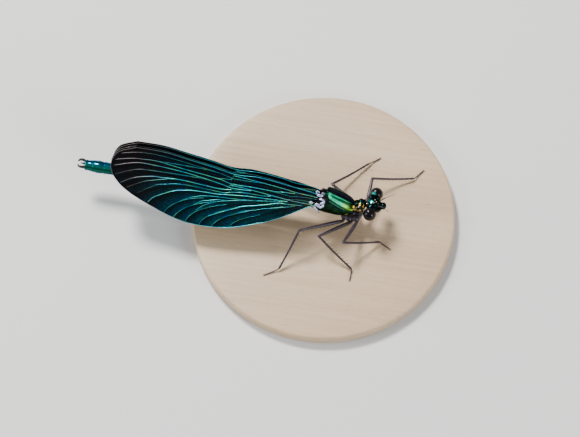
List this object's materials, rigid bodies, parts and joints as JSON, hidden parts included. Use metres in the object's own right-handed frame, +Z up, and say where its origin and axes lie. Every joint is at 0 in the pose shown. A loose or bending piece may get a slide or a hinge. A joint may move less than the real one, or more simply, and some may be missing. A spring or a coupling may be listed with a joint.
{
  "type": "demoiselle damselfly model",
  "caption": "Life-size still model of a dark-winged male demoiselle damselfly, wings closed and leaning to its right, standing on a plain round display base.",
  "frame": {"origin": "middle of the display base's underside", "axes": "+X forward, towards the head; +Y to the animal's left; +Z up"},
  "size_m": [0.0582, 0.04, 0.0136],
  "materials": {
    "metallic_chitin": "metallic green to teal blue, glossy",
    "black_chitin": "near black, satin",
    "compound_eye": "very dark maroon, glossy",
    "wing_membrane": "black brown with a blue and teal sheen",
    "display_base": "pale satin lacquer"
  },
  "bodies": {
    "root": {"abdomen_1": "metallic_chitin", "abdomen_10": "metallic_chitin", "abdomen_2": "metallic_chitin", "abdomen_3": "metallic_chitin", "abdomen_4": "metallic_chitin", "abdomen_5": "metallic_chitin", "abdomen_6": "metallic_chitin", "abdomen_7": "metallic_chitin", "abdomen_8": "metallic_chitin", "abdomen_9": "metallic_chitin", "antenna_left": "black_chitin", "antenna_right": "black_chitin", "cercus_left": "black_chitin", "cercus_right": "black_chitin", "eye_left": "compound_eye", "eye_right": "compound_eye", "head": "metallic_chitin", "leg_front_left_coxa": "black_chitin", "leg_front_left_femur": "black_chitin", "leg_front_left_tarsus": "black_chitin", "leg_front_left_tibia": "black_chitin", "leg_front_right_coxa": "black_chitin", "leg_front_right_femur": "black_chitin", "leg_front_right_tarsus": "black_chitin", "leg_front_right_tibia": "black_chitin", "leg_hind_left_coxa": "black_chitin", "leg_hind_left_femur": "black_chitin", "leg_hind_left_tarsus": "black_chitin", "leg_hind_left_tibia": "black_chitin", "leg_hind_right_coxa": "black_chitin", "leg_hind_right_femur": "black_chitin", "leg_hind_right_tarsus": "black_chitin", "leg_hind_right_tibia": "black_chitin", "leg_mid_left_coxa": "black_chitin", "leg_mid_left_femur": "black_chitin", "leg_mid_left_tarsus": "black_chitin", "leg_mid_left_tibia": "black_chitin", "leg_mid_right_coxa": "black_chitin", "leg_mid_right_femur": "black_chitin", "leg_mid_right_tarsus": "black_chitin", "leg_mid_right_tibia": "black_chitin", "mouthparts": "metallic_chitin", "paraproct_left": "black_chitin", "paraproct_right": "black_chitin", "prothorax": "metallic_chitin", "stand_base": "display_base", "thorax": "metallic_chitin", "wing_fore_left": "wing_membrane", "wing_fore_right": "wing_membrane", "wing_hind_left": "wing_membrane", "wing_hind_right": "wing_membrane"}
  },
  "joints": []
}
